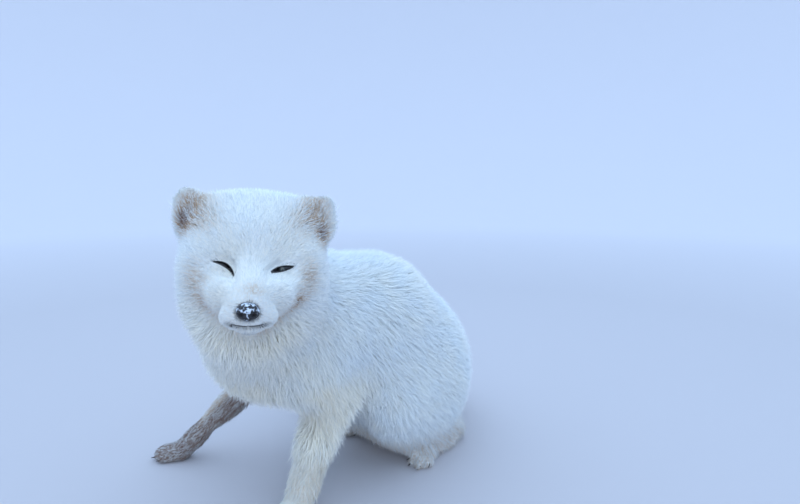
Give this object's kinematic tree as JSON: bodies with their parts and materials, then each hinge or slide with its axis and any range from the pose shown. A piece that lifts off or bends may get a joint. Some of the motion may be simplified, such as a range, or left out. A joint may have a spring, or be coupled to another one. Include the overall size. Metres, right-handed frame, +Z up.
{
  "type": "arctic fox sitting in winter coat",
  "caption": "Life-size white arctic fox in full winter coat, sitting low on its haunches with its head turned to its left, eyes nearly shut and right foreleg stretched out; a still model",
  "frame": {"origin": "on the floor, under the middle of the fox's box", "axes": "+Z up, -Y the way the trunk faces, +X the fox's left"},
  "size_m": [0.387, 0.53, 0.3639],
  "materials": {
    "coat": "dense white winter fur",
    "ear_coat": "short white fur, grey-brown inside the ear",
    "leg_coat": "short white fur, slightly stained",
    "wet_coat": "short fur, wet and stained brown",
    "nose": "damp black nose leather, and the dark horn of the claws",
    "eye": "wet dark brown eye"
  },
  "bodies": {
    "root": {"nose": "nose", "jaw": "coat", "muzzle": "coat", "ear_left": "ear_coat", "ear_right": "ear_coat", "head": "coat", "neck": "coat", "forepaw_left": "leg_coat", "forepaw_right": "wet_coat", "foreleg_left": "coat", "foreleg_right": "wet_coat", "hindfoot_left": "leg_coat", "hindfoot_right": "leg_coat", "tail_tip": "coat", "tail_middle": "coat", "tail_root": "coat", "thigh_left": "coat", "thigh_right": "coat", "chest": "coat", "loin": "coat", "rump": "coat", "eye_left": "eye", "eye_right": "eye"}
  },
  "joints": []
}
